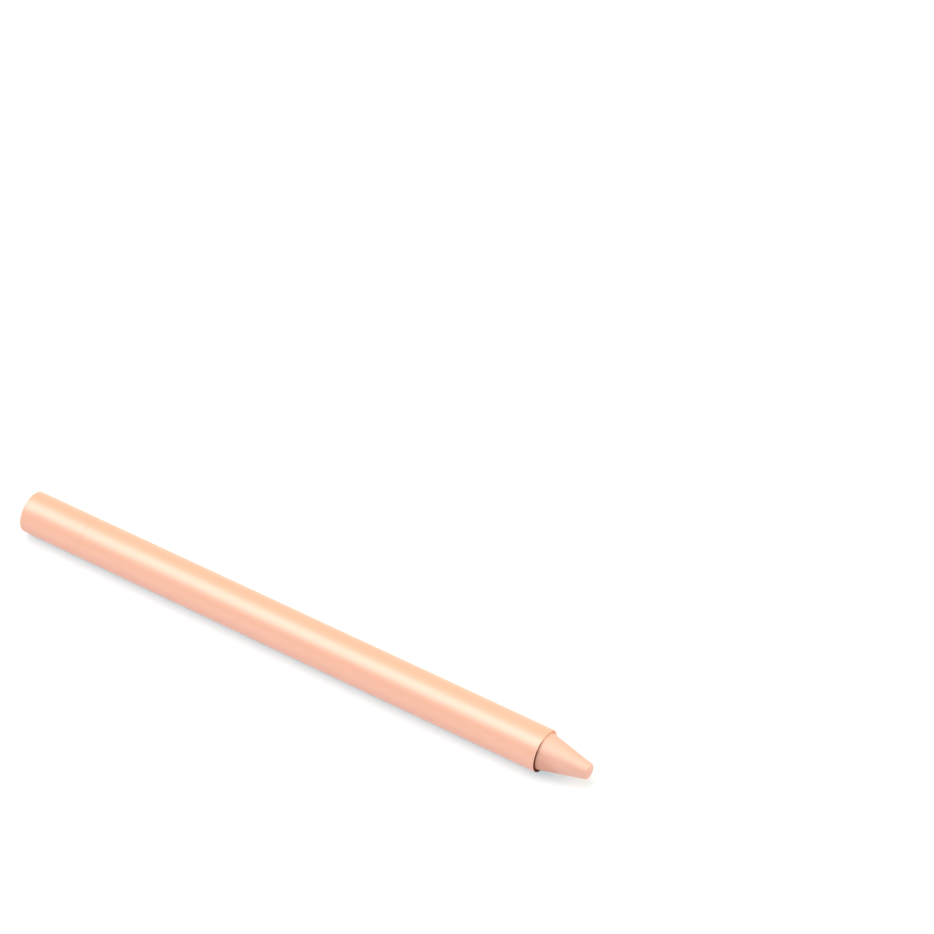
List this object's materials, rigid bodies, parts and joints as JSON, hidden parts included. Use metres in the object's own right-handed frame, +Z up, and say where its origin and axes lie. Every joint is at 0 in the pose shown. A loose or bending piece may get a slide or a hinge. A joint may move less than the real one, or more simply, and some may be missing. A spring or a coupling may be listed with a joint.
{
  "type": "twist crayon",
  "caption": "Slim round twist crayon: turning the rear knob drives a lead screw that slides a blunt cone-tipped wax stick out of or back into a smooth barrel.",
  "frame": {"origin": "on the surface the crayon lies on, below the middle of its length", "axes": "+X along the crayon's axis from the knob to the tip, +Z up, +Y across"},
  "size_m": [0.143, 0.0096, 0.0096],
  "materials": {
    "barrel_plastic": "satin peach polypropylene tube",
    "knob_plastic": "satin peach moulded polypropylene",
    "stick_wax": "moulded peach wax, slightly greasy",
    "mechanism_plastic": "natural white moulded acetal",
    "ring_rubber": "black nitrile rubber"
  },
  "bodies": {
    "barrel": {"barrel": "barrel_plastic", "guide_sleeve": "mechanism_plastic", "bearing_plug": "mechanism_plastic", "drag_ring": "ring_rubber"},
    "knob": {"twist_knob": "knob_plastic", "lead_screw": "mechanism_plastic"},
    "carriage": {"push_tube": "mechanism_plastic", "stick_cup": "mechanism_plastic", "crayon_stick": "stick_wax"}
  },
  "joints": [
    {"name": "knob_twist", "type": "hinge", "parent": "barrel", "child": "knob", "pos_m": [-0.0635, 0, 0.0048], "axis": [1, 0, 0], "range_deg": [-1080, 2700]},
    {"name": "stick_slide", "type": "slide", "parent": "barrel", "child": "carriage", "axis": [1, 0, 0], "range_m": [-0.012, 0.03]}
  ],
  "couplings": [
    {"joint": "knob_twist", "follows": "stick_slide", "rad_per_m": 1570.8}
  ]
}
